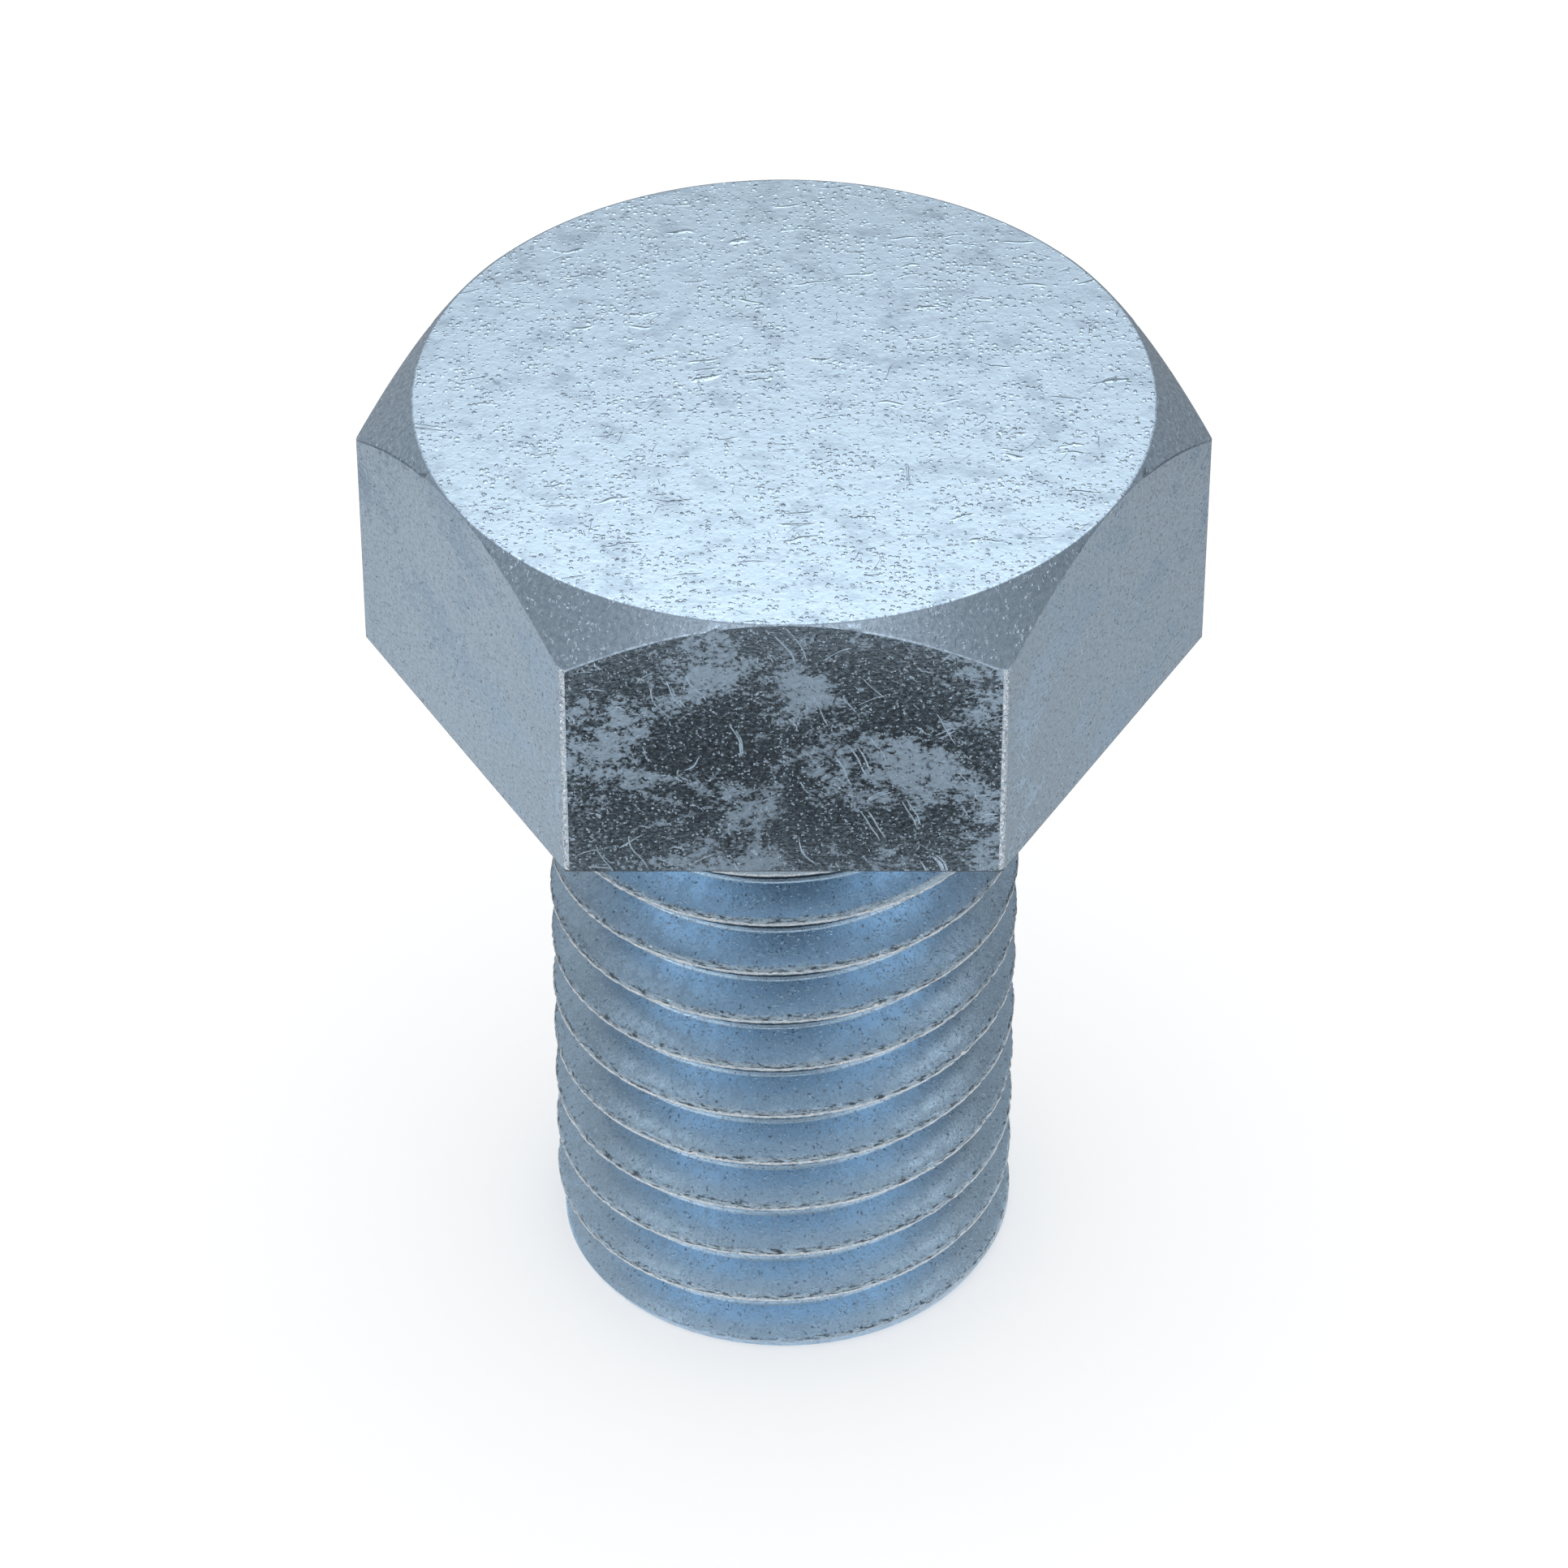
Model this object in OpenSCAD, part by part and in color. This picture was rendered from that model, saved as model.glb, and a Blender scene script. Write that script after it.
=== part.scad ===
// Hex head cap screw, threaded almost up to the head, in zinc-coated steel.
// The head is forged and has its six corners turned off by a 45 degree chamfer,
// which leaves a round top face. The shank carries a coarse right-hand thread
// with 60 degree flanks. The thread runs out below the head into a short plain
// body, and begins with an incomplete turn at the chamfered point.
//
// Millimetres. The origin is the centre of the bearing face under the head,
// +Z points up through the head, and one flat of the hexagon faces the front, -Y.

/* [Head] */
// Width across two opposite flats
across_flats = 28.575; // [26.5:0.005:32]
// Width across two opposite corners, measured over their worn edges
across_corners = 32.9; // [29.5:0.05:33]
// Height of the head above the bearing face
head_h = 11.9; // [8:0.05:18]
// Diameter of the round face that the chamfer leaves on top
top_face_d = 28.48; // [24:0.02:28.5]
// Slope of the corner chamfer, down from the top face
chamfer_angle = 45; // [25:1:55]

/* [Shank] */
// Length from the bearing face to the point
shank_l = 30; // [16:0.5:80]
// Diameter of the plain body under the head
body_d = 19.05; // [19:0.01:19.6]
// Length of the plain body, from the bearing face to its lower end
body_l = 2.8; // [2:0.1:6]
// Height of the shallow taper from the body down to the crests
body_taper_h = 0.6; // [0.55:0.05:1.5]
// Radius of the fillet between the body and the bearing face
fillet_r = 0.8; // [0.4:0.05:1.5]
// Diameter of the flat face at the point
point_d = 18.4; // [14:0.1:18.8]
// Height of the chamfer at the point
point_chamfer_h = 0.6; // [0.3:0.05:2]

/* [Thread] */
// Diameter over the crests
crest_d = 18.95; // [18.85:0.01:19]
// Rise of the thread in one turn
pitch = 2.54; // [2.1:0.01:3.5]
// Depth of the groove, from crest to root
thread_depth = 1.38; // [1:0.01:1.6]
// Angle between the two flanks of the groove
flank_angle = 60; // [50:1:65]
// Width of the flat along the top of each crest
crest_w = 0.32; // [0.2:0.01:0.5]
// Height of the groove's first full turn above the point, at the front
lead_in_h = 1.64; // [1.2:0.01:3]
// Turn over which the groove deepens at the point, in degrees
lead_in_turn = 100; // [60:5:180]
// Height left between the foot of the body's taper and the end of the groove
runout_gap = 0.5; // [0.4:0.05:3]
// Turn over which the groove runs out below the body, in degrees
runout_turn = 220; // [90:5:300]
// Facets in one turn of the groove
turn_facets = 48; // [36:4:60]

/* [Hidden] */
$fn = 96;

// Overlap that fuses the shank into the head, and the reach of cuts past a surface
overlap = 1;
clear = 0.1;
zinc = "#8FA6BC";

// Height at which the chamfer meets the corners
corner_h = head_h - (across_corners - top_face_d) / 2 * tan(chamfer_angle);

crest_r = crest_d / 2;
// The groove is a trapezium: what the crest leaves of the pitch at the top,
// narrowed by both flanks down to the root
root_w = pitch - crest_w - 2 * thread_depth * tan(flank_angle / 2);

// The groove's centre line climbs one pitch a turn. Its angle is counted from
// the front, towards +X, and passes 0 at the height lead_in_h above the point.
full_depth_from = -90;
groove_from = full_depth_from - lead_in_turn;
groove_top_z = -body_l - body_taper_h - runout_gap;
groove_to = (groove_top_z + shank_l - lead_in_h) / pitch * 360;
groove_steps = ceil((groove_to - groove_from) / 360 * turn_facets);

function groove_angle(step) =
    groove_from + (groove_to - groove_from) * step / groove_steps;
function groove_z(angle) = -shank_l + lead_in_h + pitch * angle / 360;

// Share of the full depth that the groove has reached, 0 at both of its ends
function depth_share(angle) =
    min(1, (angle - groove_from) / lead_in_turn, (groove_to - angle) / runout_turn);

// Point on the screw's own cylinder coordinates, with the angle from the front
function on_shank(r, angle, z) = [r * sin(angle), -r * cos(angle), z];

// The four corners of the groove's section at one angle: the root, lower and
// upper, then the open side just outside the crests, upper and lower
function groove_section(angle) =
    let (
        share = depth_share(angle),
        root_r = crest_r - thread_depth * share + clear / 2 * (1 - share),
        open_r = crest_r + clear,
        root_half = root_w / 2,
        open_half = root_half + (open_r - root_r) * tan(flank_angle / 2),
        z = groove_z(angle)
    )
    [
        on_shank(root_r, angle, z - root_half),
        on_shank(root_r, angle, z + root_half),
        on_shank(open_r, angle, z + open_half),
        on_shank(open_r, angle, z - open_half),
    ];

// Helical cutter for the thread groove: one section after the other along the
// helix, joined by four strips of triangles and closed at both ends
module thread_groove() {
    corners = len(groove_section(groove_from));
    points = [for (i = [0 : groove_steps]) each groove_section(groove_angle(i))];
    sides = [
        for (i = [0 : groove_steps - 1], j = [0 : corners - 1])
            let (
                a = i * corners + j,
                b = i * corners + (j + 1) % corners,
                c = b + corners,
                d = a + corners
            )
            each [[a, c, b], [a, d, c]]
    ];
    first = [for (j = [0 : corners - 1]) j];
    last = [for (j = [corners - 1 : -1 : 0]) groove_steps * corners + j];
    polyhedron(points = points, faces = concat(sides, [first, last]), convexity = 12);
}

// Hexagonal bar, turned down by the chamfer on top and slightly worn along its
// six upright corners
module head() {
    intersection() {
        cylinder(h = head_h, d = across_flats / cos(30), $fn = 6);
        rotate_extrude()
            polygon([
                [0, 0],
                [across_corners / 2, 0],
                [across_corners / 2, corner_h],
                [top_face_d / 2, head_h],
                [0, head_h],
            ]);
    }
}

// Turned form of the shank before threading: body, taper, crests and point
module shank_blank() {
    rotate_extrude()
        polygon([
            [0, overlap],
            [body_d / 2, overlap],
            [body_d / 2, -body_l],
            [crest_r, -body_l - body_taper_h],
            [crest_r, -shank_l + point_chamfer_h],
            [point_d / 2, -shank_l],
            [0, -shank_l],
        ]);
}

// Ring that rounds the inner corner between the body and the bearing face
module underhead_fillet() {
    rotate_extrude()
        difference() {
            translate([body_d / 2 - overlap, -fillet_r])
                square([fillet_r + overlap, fillet_r + overlap]);
            translate([body_d / 2 + fillet_r, -fillet_r]) circle(fillet_r);
            translate([body_d / 2 + fillet_r, -fillet_r]) square([overlap, 3 * overlap]);
        }
}

module hex_head_cap_screw() {
    color(zinc) {
        head();
        underhead_fillet();
        difference() {
            shank_blank();
            thread_groove();
        }
    }
}

hex_head_cap_screw();
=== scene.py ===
# %% [markdown]
# # Hex head cap screw in zinc-coated steel
#
# The screw stands on its point, head up, and is looked down on from the front.
# It is one piece of steel: a forged hexagon head whose corners are turned off
# at 45 degrees, and a shank with a coarse rolled thread. The imported CAD model
# gives the exact sizes. This script makes the same screw with worn edges, a
# ragged crest and the finish of a tumbled, zinc-coated part.

# %% The imported model
import math

import bpy
import numpy as np
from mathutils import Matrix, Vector, noise


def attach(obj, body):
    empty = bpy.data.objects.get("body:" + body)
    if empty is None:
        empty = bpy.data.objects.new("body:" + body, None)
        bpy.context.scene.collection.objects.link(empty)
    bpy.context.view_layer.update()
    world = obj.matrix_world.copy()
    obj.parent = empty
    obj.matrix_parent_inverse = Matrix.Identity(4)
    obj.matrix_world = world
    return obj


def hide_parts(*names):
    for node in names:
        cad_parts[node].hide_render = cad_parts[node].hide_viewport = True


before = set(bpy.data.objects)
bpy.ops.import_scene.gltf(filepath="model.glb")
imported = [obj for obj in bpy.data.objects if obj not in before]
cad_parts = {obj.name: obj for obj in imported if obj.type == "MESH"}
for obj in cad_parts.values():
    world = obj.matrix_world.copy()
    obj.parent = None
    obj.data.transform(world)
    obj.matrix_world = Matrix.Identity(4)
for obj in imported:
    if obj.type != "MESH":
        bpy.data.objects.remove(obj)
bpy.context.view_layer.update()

# %% [markdown]
# ## Camera
#
# The outline of the hexagon and of the round top face fixes the camera: it
# stands square to the front flat, 39.8 degrees above the horizon, and is a long
# lens, so that upright edges stay almost parallel. It aims at a point on the
# screw's axis a little below the head.

# %% Camera
mm = 0.001
camera_elevation = math.radians(39.821)
camera_distance = 271.77 * mm
aim_height = -7.593 * mm

bpy.ops.object.select_all(action="DESELECT")
bpy.ops.object.camera_add(
    location=(
        0,
        -camera_distance * math.cos(camera_elevation),
        aim_height + camera_distance * math.sin(camera_elevation),
    ),
    rotation=(math.pi / 2 - camera_elevation, 0, 0),
)
camera = bpy.context.object
camera.name = "photo_camera"
camera.data.lens = 155.742
camera.data.clip_start = 0.01
bpy.context.scene.camera = camera
print("camera at", [round(1000 * c, 1) for c in camera.location], "mm")

# %% [markdown]
# ## The head's blank
#
# The head begins as a turned disc, as wide as the hexagon over its worn
# corners. One bevel makes the 45 degree chamfer that leaves the round top face,
# and a second, tiny one takes the sharpness off that face's rim. All modelling
# is done with 1 unit as 1 mm, because Blender's tools lose hair-thin edges at
# true metre size, and the finished screw is brought to metres at the end.

# %% Sizes of the screw, in millimetres
across_flats = 28.575
worn_corners = 32.9
head_h = 11.9
top_face_d = 28.48
shank_l = 30.0
body_d = 19.05
body_l = 2.8
body_taper_h = 0.6
fillet_r = 0.8
point_d = 18.4
point_chamfer_h = 0.6
crest_d = 18.95
pitch = 2.54
thread_depth = 1.38
crest_w = 0.32
flank_slope = math.tan(math.radians(30))
lead_in_h = 1.64
lead_in_turn = 100.0
full_depth_from = -90.0
runout_gap = 0.5
runout_turn = 220.0


# %% Selecting by place
def select_where(piece, parts, test):
    """Selects, in edit mode, only the vertices, edges or polygons that pass the test."""
    mode = {"vertices": "VERT", "edges": "EDGE", "polygons": "FACE"}[parts]
    bpy.context.view_layer.objects.active = piece
    bpy.ops.object.mode_set(mode="EDIT")
    bpy.ops.mesh.select_mode(type=mode)
    bpy.ops.mesh.select_all(action="DESELECT")
    bpy.ops.object.mode_set(mode="OBJECT")
    count = 0
    for item in getattr(piece.data, parts):
        item.select = test(item)
        count += item.select
    bpy.ops.object.mode_set(mode="EDIT")
    return count


def ends(piece, edge):
    """The two end points of an edge."""
    return [piece.data.vertices[i].co for i in edge.vertices]


def radius(point):
    return math.hypot(point.x, point.y)


# %% Turned disc with its chamfer
rim_points = 192
rim_wear = 0.07

bpy.ops.object.select_all(action="DESELECT")
bpy.ops.mesh.primitive_cylinder_add(
    vertices=rim_points, radius=worn_corners / 2, depth=head_h, location=(0, 0, head_h / 2)
)
screw = bpy.context.object
screw.name = "cap_screw"
bpy.ops.object.transform_apply(location=True)


def on_top_rim(edge):
    return all(p.z > head_h - 1e-4 and radius(p) > 1 for p in ends(screw, edge))


select_where(screw, "edges", on_top_rim)
bpy.ops.mesh.bevel(offset=(worn_corners - top_face_d) / 2, segments=1, clamp_overlap=False)
bpy.ops.object.mode_set(mode="OBJECT")
rim = select_where(screw, "edges", on_top_rim)
bpy.ops.mesh.bevel(offset=rim_wear, segments=3, clamp_overlap=False)
bpy.ops.object.mode_set(mode="OBJECT")
print("turned disc:", rim, "rim edges,", len(screw.data.polygons), "faces")

# %% [markdown]
# ## The six flats
#
# On the real part the punch trims the disc to a hexagon. Here six bisects do
# the same: each cuts along one flat, throws the outside away and closes the
# cut. The chamfer then meets the flats in the curved lines that every such
# screw shows. Tumbling has taken the sharpness off the upright corners, the
# lower edges and most of those curves, which get a narrow rounded bevel. It has
# to stay narrow: each upright corner is a worn strip 0.17 mm wide, and a wider
# bevel would reach past its middle and cross the bevel from the other side.

# %% Flats
flat_normals = [
    Vector((math.sin(math.radians(60 * k)), -math.cos(math.radians(60 * k)), 0))
    for k in range(6)
]
bpy.ops.object.mode_set(mode="EDIT")
for normal in flat_normals:
    bpy.ops.mesh.select_all(action="SELECT")
    bpy.ops.mesh.bisect(
        plane_co=normal * (across_flats / 2),
        plane_no=normal,
        use_fill=True,
        clear_outer=True,
        threshold=1e-5,
    )
bpy.ops.object.mode_set(mode="OBJECT")
print("after the flats:", len(screw.data.polygons), "faces")

# %% Worn edges of the head
edge_wear = 0.058
edge_rounding = 3
sharp_above = head_h - 0.4


def on_flat(point):
    """The number of the flat that a point lies on, or None."""
    for k, normal in enumerate(flat_normals):
        if abs(normal.dot(point) - across_flats / 2) < 1e-3:
            return k
    return None


def worn_edge(edge):
    a, b = ends(screw, edge)
    if on_flat(a) is None or on_flat(a) != on_flat(b):
        return False
    return min(a.z, b.z) < sharp_above


worn = select_where(screw, "edges", worn_edge)
bpy.ops.mesh.bevel(offset=edge_wear, segments=edge_rounding, clamp_overlap=False)
bpy.ops.object.mode_set(mode="OBJECT")
print("worn edges:", worn, "->", len(screw.data.polygons), "faces")

# %% [markdown]
# ## The thread
#
# A rolled thread is one shape swept along a helix, which is what the Screw
# modifier does. The outline of one pitch is drawn in the plane of the front:
# half a crest, a flank, the root, a flank and half a crest, with the corners
# rounded as rolling leaves them. The modifier winds it up the shank, one pitch
# a turn.

# %% Outline of one pitch
crest_r = crest_d / 2
root_r = crest_r - thread_depth
root_half = (pitch - crest_w) / 2 - thread_depth * flank_slope
groove_half = pitch / 2 - crest_w / 2
crest_round = 0.12
root_round = 0.10


def rounded_corner(corner, before, after, reach, steps):
    """Points of a soft corner: it leaves the first line and joins the second at that reach."""
    start = corner + (before - corner).normalized() * reach
    end = corner + (after - corner).normalized() * reach
    points = []
    for step in range(steps + 1):
        t = step / steps
        points.append(start * (1 - t) ** 2 + corner * 2 * t * (1 - t) + end * t**2)
    return points


half_crest = Vector((crest_r, -pitch / 2))
crest_edge = Vector((crest_r, -groove_half))
root_edge = Vector((root_r, -root_half))
root_middle = Vector((root_r, 0))
lower_half = (
    [half_crest]
    + rounded_corner(crest_edge, half_crest, root_edge, crest_round, 3)
    + [crest_edge.lerp(root_edge, share) for share in (0.25, 0.6)]
    + rounded_corner(root_edge, crest_edge, root_middle, root_round, 3)
)
outline = lower_half + [root_middle] + [Vector((p.x, -p.y)) for p in reversed(lower_half)]
print("thread outline:", len(outline), "points")

# %% Thread wound up the shank
turn_steps = 320
turns = 13
first_groove = -shank_l + lead_in_h - 2 * pitch

bpy.ops.object.select_all(action="DESELECT")
bpy.ops.mesh.primitive_plane_add(size=0.1, location=(0, 0, 0))
thread = bpy.context.object
thread.name = "thread"
bpy.ops.object.mode_set(mode="EDIT")
bpy.ops.mesh.select_mode(type="VERT")
bpy.ops.mesh.select_all(action="SELECT")
bpy.ops.mesh.merge(type="CENTER")
start = Vector((0, -outline[0].x, first_groove + outline[0].y))
bpy.ops.transform.translate(value=start)
for here, there in zip(outline, outline[1:]):
    bpy.ops.mesh.extrude_vertices_move(
        TRANSFORM_OT_translate={"value": (0, here.x - there.x, there.y - here.y)}
    )
bpy.ops.object.mode_set(mode="OBJECT")
bpy.ops.object.modifier_add(type="SCREW")
winding = thread.modifiers[-1]
winding.axis = "Z"
winding.angle = 2 * math.pi
winding.screw_offset = pitch
winding.iterations = turns
winding.steps = turn_steps
winding.render_steps = turn_steps
bpy.ops.object.modifier_apply(modifier=winding.name)
bpy.ops.object.mode_set(mode="EDIT")
bpy.ops.mesh.select_all(action="SELECT")
bpy.ops.mesh.remove_doubles(threshold=1e-3)
bpy.ops.object.mode_set(mode="OBJECT")
print("wound thread:", len(thread.data.vertices), "points")

# %% [markdown]
# ## Start, run-out and nicks of the thread
#
# The groove deepens over part of a turn at the point and fades out below the
# head. Each point knows where it lies along the helix from its angle and
# height, so it can be raised towards the crest by the share of the depth that
# is missing there. The crest's own rounding ends before the run-out does, so
# that the rim above it is a true circle. Handling has also nicked the crests:
# soft noise pushes their edges in by a few hundredths of a millimetre. Last,
# each point notes how much it is rubbed, with a painted highlight on the lower
# edges of the crests, how much painted shade its root gets, and how deep the
# groove is there, for the thread's material.

# %% Depth of the groove along the helix
groove_from = full_depth_from - lead_in_turn
groove_top = -body_l - body_taper_h - runout_gap
groove_to = (groove_top + shank_l - lead_in_h) / pitch * 360
points = np.empty(3 * len(thread.data.vertices))
thread.data.vertices.foreach_get("co", points)
points = points.reshape(-1, 3)
angle = np.degrees(np.arctan2(points[:, 0], -points[:, 1]))
distance = np.hypot(points[:, 0], points[:, 1])
groove_z = -shank_l + lead_in_h + pitch * angle / 360
turn_number = np.round((points[:, 2] - groove_z) / pitch)
along = angle + 360 * turn_number
offset = points[:, 2] - (groove_z + pitch * turn_number)
root_offset = float(np.abs(offset[distance < root_r + 1e-3]).max())
print("root points lie on the helix to within", round(root_offset - root_half, 4), "mm")

# %% Points moved to the share of the depth
rounding_ends = groove_to - 300
rounding_fade = 60
started = (along - groove_from) / lead_in_turn
not_run_out = (groove_to - along) / runout_turn
share = np.clip(np.minimum(started, not_run_out), 0, 1)
reach = np.abs(offset)
groove_edge = root_half + (groove_half - root_half) * share
on_flank = root_half + (reach - root_half) * share
across_crest = (reach - groove_half) / (pitch / 2 - groove_half)
on_crest = groove_edge + across_crest * (pitch / 2 - groove_edge)
new_reach = np.where(reach < groove_half, on_flank, on_crest)
new_reach = np.where(reach <= root_half, reach, new_reach)
new_distance = crest_r - (crest_r - distance) * share
rounding_left = np.clip((rounding_ends - along) / rounding_fade, 0, 1)
on_land = reach >= groove_half - 1e-6
new_distance[on_land] = (crest_r - (crest_r - distance) * share * rounding_left)[on_land]
new_z = points[:, 2] - offset + np.sign(offset) * new_reach
print("full depth at", int((share == 1).sum()), "points of", len(points))

# %% Nicks in the crests
nick_depth = 0.08
nick_shift = 0.08
nicks_fade = 0.6
near_crest = np.clip(1 - (crest_r - distance) / crest_round, 0, 1) * share
near_crest *= np.clip((groove_top - new_z) / nicks_fade, 0, 1)
nicks = np.zeros(len(points))
for i in np.flatnonzero(near_crest > 0):
    place = Vector((points[i, 0], points[i, 1], points[i, 2] * 0.5))
    coarse = noise.noise(place * 1.1)
    fine = noise.noise(place * 4.3)
    nicks[i] = min(1.0, max(0.0, 0.5 * coarse + 1.3 * fine + 0.05))
new_distance -= nick_depth * nicks * near_crest
new_z += nick_shift * nicks * near_crest * np.where(offset > 0, 1, -1)
points[:, 0] = new_distance * np.sin(np.radians(angle))
points[:, 1] = -new_distance * np.cos(np.radians(angle))
points[:, 2] = new_z
thread.data.vertices.foreach_set("co", points.ravel())
thread.data.update()
print("deepest nick:", round(float((nick_depth * nicks * near_crest).max()), 3), "mm")

# %% Rubbed points with a painted highlight, and painted shade in the root
# The middle of a crest is rubbed, and its lower edge is marked most, for a
# painted highlight. The root gets painted shade, darkest at its upper side and
# thinning out downwards.
root_flat = root_half - root_round
on_top = crest_r - distance < crest_round
mid_crest = reach > pitch / 2 - 0.01
# The crest's middle is rubbed, and its lower edge is marked most, as a painted highlight.
rub_and_highlight = np.where(on_top & mid_crest, 0.8, 0.0)
rub_and_highlight = np.where(on_top & (offset > 0) & ~mid_crest, 1.0, rub_and_highlight) * share
# Painted shade in the root, darkest at its upper side.
in_groove = distance < root_r + 0.06
root_shade = np.where(in_groove, np.clip(1 + offset / root_flat, 0, 1), 0.0) * share
for name, values in (("rub_and_highlight", rub_and_highlight), ("root_shade", root_shade), ("full_depth", share)):
    mark = thread.data.attributes.new(name, "FLOAT", "POINT")
    mark.data.foreach_set("value", values.astype(np.float32))
print("rubbed points:", int((rub_and_highlight > 0).sum()), "dirty points:", int((root_shade > 0).sum()))

# %% [markdown]
# ## Point and plain body
#
# The winding is longer than the shank, so two bisects trim it: one at the end
# face, which is closed, and one just above the run-out, which leaves a round
# open rim. A third only scores a ring where the point's chamfer starts, and the
# points below it are drawn in to the cone. The rim's nearly touching points are
# merged, and it is extruded upwards into the taper, the plain body and the
# fillet under the head.

# %% Trimming the winding
above_groove = groove_top + 0.45
bpy.ops.object.mode_set(mode="EDIT")
for height, clear_below, clear_above in (
    (-shank_l + point_chamfer_h, False, False),
    (above_groove, False, True),
    (-shank_l, True, False),
):
    bpy.ops.mesh.select_all(action="SELECT")
    bpy.ops.mesh.bisect(
        plane_co=(0, 0, height),
        plane_no=(0, 0, 1),
        clear_inner=clear_below,
        clear_outer=clear_above,
        threshold=1e-5,
    )
bpy.ops.mesh.edge_face_add()
bpy.ops.object.mode_set(mode="OBJECT")
for vertex in thread.data.vertices:
    above_end = vertex.co.z + shank_l
    if above_end < point_chamfer_h:
        limit = point_d / 2 + above_end / point_chamfer_h * (crest_r - point_d / 2)
        if radius(vertex.co) > limit:
            vertex.co.xy *= limit / radius(vertex.co)
print("trimmed shank:", len(thread.data.polygons), "faces")


# %% The open rim
def on_open_rim(edge):
    return all(
        abs(p.z - above_groove) < 1e-4 and radius(p) > crest_r - 0.1
        for p in ends(thread, edge)
    )


select_where(thread, "edges", on_open_rim)
bpy.ops.mesh.remove_doubles(threshold=0.01)
bpy.ops.object.mode_set(mode="OBJECT")
rim_edges = select_where(thread, "edges", on_open_rim)
print("open rim:", rim_edges, "edges")

# %% Body and fillet, extruded from the rim
fillet_steps = 8
body_r = body_d / 2
body_steps = [(crest_r, -body_l - body_taper_h), (body_r, -body_l), (body_r, -fillet_r)]
for step in range(1, fillet_steps + 1):
    turn = math.radians(90 * step / fillet_steps)
    out = fillet_r * (1 - math.cos(turn))
    body_steps.append((body_r + out, -fillet_r * (1 - math.sin(turn))))
ring_r, ring_z = crest_r, above_groove
for next_r, next_z in body_steps:
    bpy.ops.mesh.extrude_region_move(TRANSFORM_OT_translate={"value": (0, 0, next_z - ring_z)})
    grow = next_r / ring_r
    bpy.ops.transform.resize(value=(grow, grow, 1), center_override=(0, 0, next_z))
    ring_r, ring_z = next_r, next_z
bpy.ops.object.mode_set(mode="OBJECT")
print("body ends at radius", round(ring_r, 3), "mm")

# %% [markdown]
# ## One solid
#
# The disc under the head is opened, the shank is joined to it, and the ring
# between the two round borders is filled with the flat bearing face. The result
# is one closed skin, which is checked by counting the edges that don't have two
# faces. Its faces are made to agree, and they point outwards if the top's do.

# %% Head and shank made one
select_where(screw, "polygons", lambda face: face.normal.z < -0.99 and face.area > 100)
bpy.ops.mesh.delete(type="ONLY_FACE")
bpy.ops.object.mode_set(mode="OBJECT")
thread.select_set(True)
screw.select_set(True)
bpy.ops.object.join()
bpy.ops.object.mode_set(mode="EDIT")
bpy.ops.mesh.select_mode(type="EDGE")
bpy.ops.mesh.select_all(action="DESELECT")
bpy.ops.mesh.select_non_manifold()
bpy.ops.mesh.fill(use_beauty=True)
bpy.ops.mesh.select_all(action="SELECT")
bpy.ops.mesh.normals_make_consistent(inside=False)
bpy.ops.object.mode_set(mode="OBJECT")
top_faces = [face for face in screw.data.polygons if face.center.z > head_h - 1e-3]
outwards = all(face.normal.z > 0 for face in top_faces)
bpy.ops.object.mode_set(mode="EDIT")
if not outwards:
    bpy.ops.mesh.flip_normals()
bpy.ops.mesh.select_all(action="DESELECT")
bpy.ops.mesh.select_mode(type="EDGE")
bpy.ops.mesh.select_non_manifold()
bpy.ops.object.mode_set(mode="OBJECT")
open_edges = sum(edge.select for edge in screw.data.edges)
triangles = sum(len(face.vertices) - 2 for face in screw.data.polygons)
print("screw:", triangles, "triangles,", open_edges, "open edges")

# %% [markdown]
# ## Directions of the finish
#
# Scratches and rolling marks follow the surface, so every corner of every face
# stores its place on the unrolled surface in millimetres: along and up each
# flat, and round and along the shank and the chamfer. The six flats lie side by
# side on it, so that no two show the same marks. The materials read it by name,
# and so all their patterns can be flat ones. A second number tells how far a
# point is out, from the middle of its flat or from the screw's axis.

# %% Lay of the surface, and the finish of each face
FLAT, TOP, CHAMFER, SHANK = 0, 1, 2, 3
chamfer_lay = (16, math.sqrt(2))
shank_lay = (9, 2.0)
flat_step = 40
mesh = screw.data
mesh.attributes.new("lay", "FLOAT_VECTOR", "CORNER")
mesh.attributes.new("outward", "FLOAT", "CORNER")
lays = np.zeros((len(mesh.loops), 3), np.float32)
reaches = np.zeros(len(mesh.loops), np.float32)
for face in mesh.polygons:
    centre, normal = face.center, face.normal
    number = next((k for k, n in enumerate(flat_normals) if n.dot(normal) > 0.999), None)
    if centre.z > 0.01 and number is not None:
        face.material_index = FLAT
    elif centre.z > head_h - 1e-3:
        face.material_index = TOP
    else:
        face.material_index = CHAMFER if centre.z > 0.01 else SHANK
    middle = math.atan2(centre.x, -centre.y)
    wide, stretch = chamfer_lay if face.material_index == CHAMFER else shank_lay
    for corner in face.loop_indices:
        p = mesh.vertices[mesh.loops[corner].vertex_index].co
        reaches[corner] = radius(p)
        if face.material_index == FLAT:
            along_flat = p.dot(Vector((0, 0, 1)).cross(flat_normals[number]))
            lays[corner] = (along_flat + flat_step * number, p.z + flat_step, 0)
            reaches[corner] = along_flat
        elif abs(normal.z) > 0.999:
            lays[corner] = (p.x, p.y, 0)
        else:
            turn = math.remainder(math.atan2(p.x, -p.y) - middle, 2 * math.pi) + middle
            lays[corner] = (wide * turn, stretch * p.z, 0)
mesh.attributes["lay"].data.foreach_set("vector", lays.ravel())
mesh.attributes["outward"].data.foreach_set("value", reaches)
print("faces of each finish:", np.bincount([f.material_index for f in mesh.polygons]))

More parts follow.
